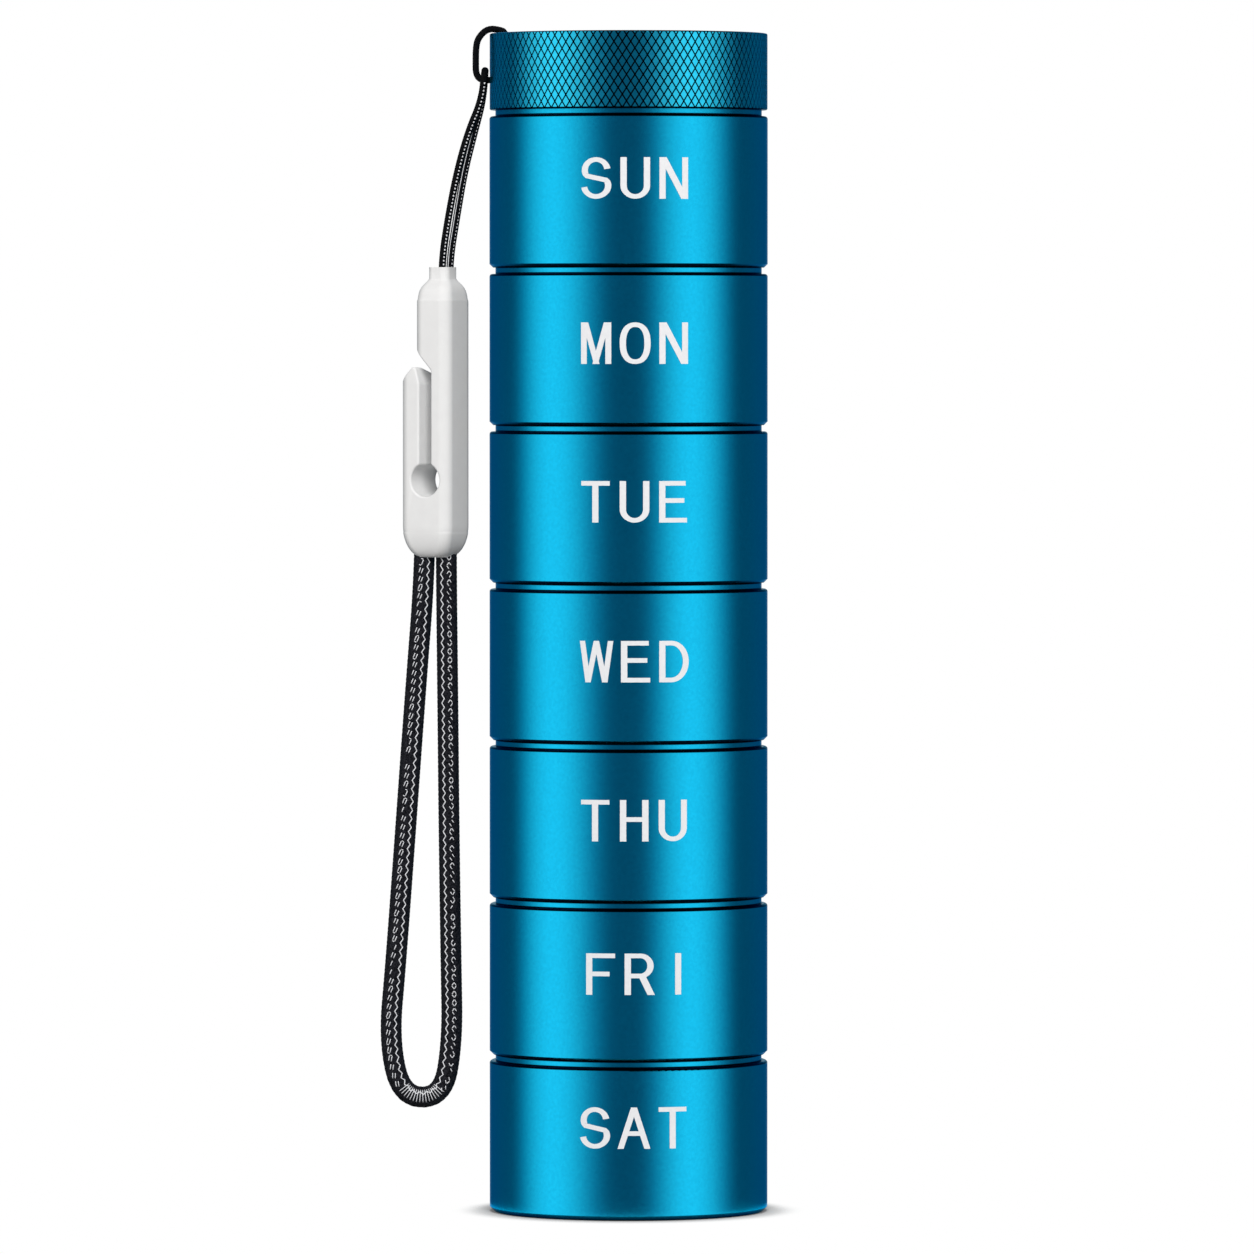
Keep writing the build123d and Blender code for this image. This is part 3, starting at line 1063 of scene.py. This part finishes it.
def seen_in_reflections(piece):
    """Keeps a lit studio piece out of everything but reflections."""
    piece.visible_camera = False
    piece.visible_diffuse = False
    piece.visible_shadow = False


def painted_contact_shadow(tree, level):
    """Painted contact shadow: a level that falls where the part stands close to the floor."""
    near = openness(tree, contact_shadow_reach)
    return map_range(tree, near.outputs["AO"], contact_shadow_open_shares, (contact_shadow_low_share * level, level))


def floor():
    """Small pale floor that fades into the white background towards its rim, with a painted contact shadow
    round the part.
    """
    ground = disc("floor", floor_radius, 0)
    material, tree = bare_material("floor_pale")
    away = add_node(tree, "ShaderNodeVectorMath", {0: own_place(tree)})
    away.operation = "LENGTH"
    fade = map_range(tree, away.outputs["Value"], (floor_full_radius, floor_radius), smooth=True)
    # The floor's colour and its white lift both fall in the painted contact shadow
    shade = add_node(tree, "ShaderNodeVectorMath", {
        0: ramp(tree, fade, (0, 1), FLOOR_SEEN, BLACK), 1: painted_contact_shadow(tree, 1)})
    shade.operation = "MULTIPLY"
    seen = add_node(tree, "ShaderNodeBsdfDiffuse", {"Color": shade.outputs[0]})
    rise = map_range(tree, fade, (0, 1), (painted_contact_shadow(tree, floor_lift), 1))
    lift = add_node(tree, "ShaderNodeEmission", {"Strength": rise})
    both = add_node(tree, "ShaderNodeAddShader", {0: seen.outputs[0], 1: lift.outputs[0]})
    plain = add_node(tree, "ShaderNodeBsdfDiffuse", {"Color": (*FLOOR_PALE, 1)})
    pick = add_node(tree, "ShaderNodeMixShader", {
        0: background_rays(tree), 1: plain.outputs[0], 2: both.outputs[0]})
    show(tree, pick)
    ground.data.materials.append(material)


def glow(tree, distance, spread, level):
    """Soft glow that fades out over an angle from its middle."""
    return map_range(tree, distance, (0, spread), (level, 0), smooth=True)


def wall_rise(tree):
    """How far the wall's light rises over its ambient level, by the direction from the part."""
    parts = add_node(tree, "ShaderNodeSeparateXYZ", {0: own_place(tree)})
    toward = math_node(tree, "MULTIPLY", parts.outputs["Y"], -1.0)
    turn = math_node(tree, "DEGREES", math_node(tree, "ARCTAN2", parts.outputs["X"], toward))
    ahead = math_node(tree, "ABSOLUTE", turn)
    behind = math_node(tree, "SUBTRACT", HALF_TURN, ahead)
    rise = 0.0
    for away, spot in ((behind, back_glow), (behind, rear_glow), (ahead, front_glow)):
        rise = math_node(tree, "ADD", glow(tree, away, spot["spread"], spot["level"]), rise)
    for side in (left_glow, right_glow):
        away = math_node(tree, "SUBTRACT", turn, side["angle"])
        above = math_node(tree, "DIVIDE", away, side["high_spread"])
        below = math_node(tree, "DIVIDE", away, -side["low_spread"])
        share = math_node(tree, "MAXIMUM", above, below)
        rise = math_node(tree, "ADD", glow(tree, share, 1.0, side["level"]), rise)
    return rise


def light_wall():
    """Round wall of soft light that glows left, right, in front and behind, only in direct reflections."""
    points = circle(wall_radius, wall_low) + circle(wall_radius, wall_high)
    wall = new_object("light_wall", points, band(range(wall_steps), range(wall_steps, 2 * wall_steps)))
    material, tree = bare_material("light_wall")
    rise = wall_rise(tree)
    path = tree.nodes.new("ShaderNodeLightPath")
    indirect = math_node(tree, "MINIMUM", path.outputs["Diffuse Depth"], 1.0)
    direct = math_node(tree, "SUBTRACT", 1.0, indirect)
    level = math_node(tree, "MULTIPLY", math_node(tree, "ADD", rise, wall_ambient), direct)
    tint = ramp(tree, rise, (0, wall_white_level), WALL_AMBIENT_TINT, WHITE)
    show(tree, add_node(tree, "ShaderNodeEmission", {"Color": tint, "Strength": level}))
    wall.data.materials.append(material)
    seen_in_reflections(wall)


def covers():
    """Dark ceiling over the wall and a dark plate under it."""
    material, tree = bare_material("cover")
    show(tree, add_node(tree, "ShaderNodeEmission", {"Strength": ceiling_level}))
    for name, height in (("ceiling", wall_high), ("underside", wall_low)):
        cover = disc(name, wall_radius, height)
        cover.data.materials.append(material)
        seen_in_reflections(cover)


def aimed(name, data, place):
    """Object of a lamp or camera at a place, turned towards the part's middle."""
    holder = bpy.data.objects.new(name, data)
    bpy.context.scene.collection.objects.link(holder)
    holder.location = place
    holder.rotation_euler = (Vector(camera_target) - Vector(place)).to_track_quat("-Z", "Y").to_euler()
    return holder


def lamp():
    """Large soft lamp in front, high above the camera and a little to the right."""
    light = bpy.data.lights.new("soft_lamp", "AREA")
    light.shape = "RECTANGLE"
    light.size = lamp_width
    light.size_y = lamp_depth
    light.energy = lamp_power
    holder = aimed("soft_lamp", light, lamp_place)
    holder.visible_camera = False
    holder.visible_glossy = False


def camera():
    """Camera at the photograph's viewing angle."""
    lens = bpy.data.cameras.new("camera")
    lens.lens = camera_lens
    lens.sensor_width = camera_sensor
    bpy.context.scene.camera = aimed("camera", lens, camera_place)


camera()
cords()
metal = anodised("anodised_blue", ANODISED_DEEP, ANODISED_BLUE)
finish_nodes(metal)
plastic, _, _ = finished("clip_plastic", CLIP_PLASTIC, CLIP_DULL, CLIP_WHITE)
hook_clip(plastic)
# The cap's metal uses the brighter blues, a painted highlight on the knurl
knurled_cap(anodised("anodised_knurl", KNURL_HIGHLIGHT_DEEP, KNURL_HIGHLIGHT_BLUE))
threads(metal)
paint, _, _ = finished("mark_paint", MARK_PAINT, MARK_DULL, MARK_WHITE)
for day in DAYS:
    weekday_mark(day, paint)
room()
floor()
light_wall()
covers()
lamp()
bpy.context.scene.view_settings.view_transform = "Standard"
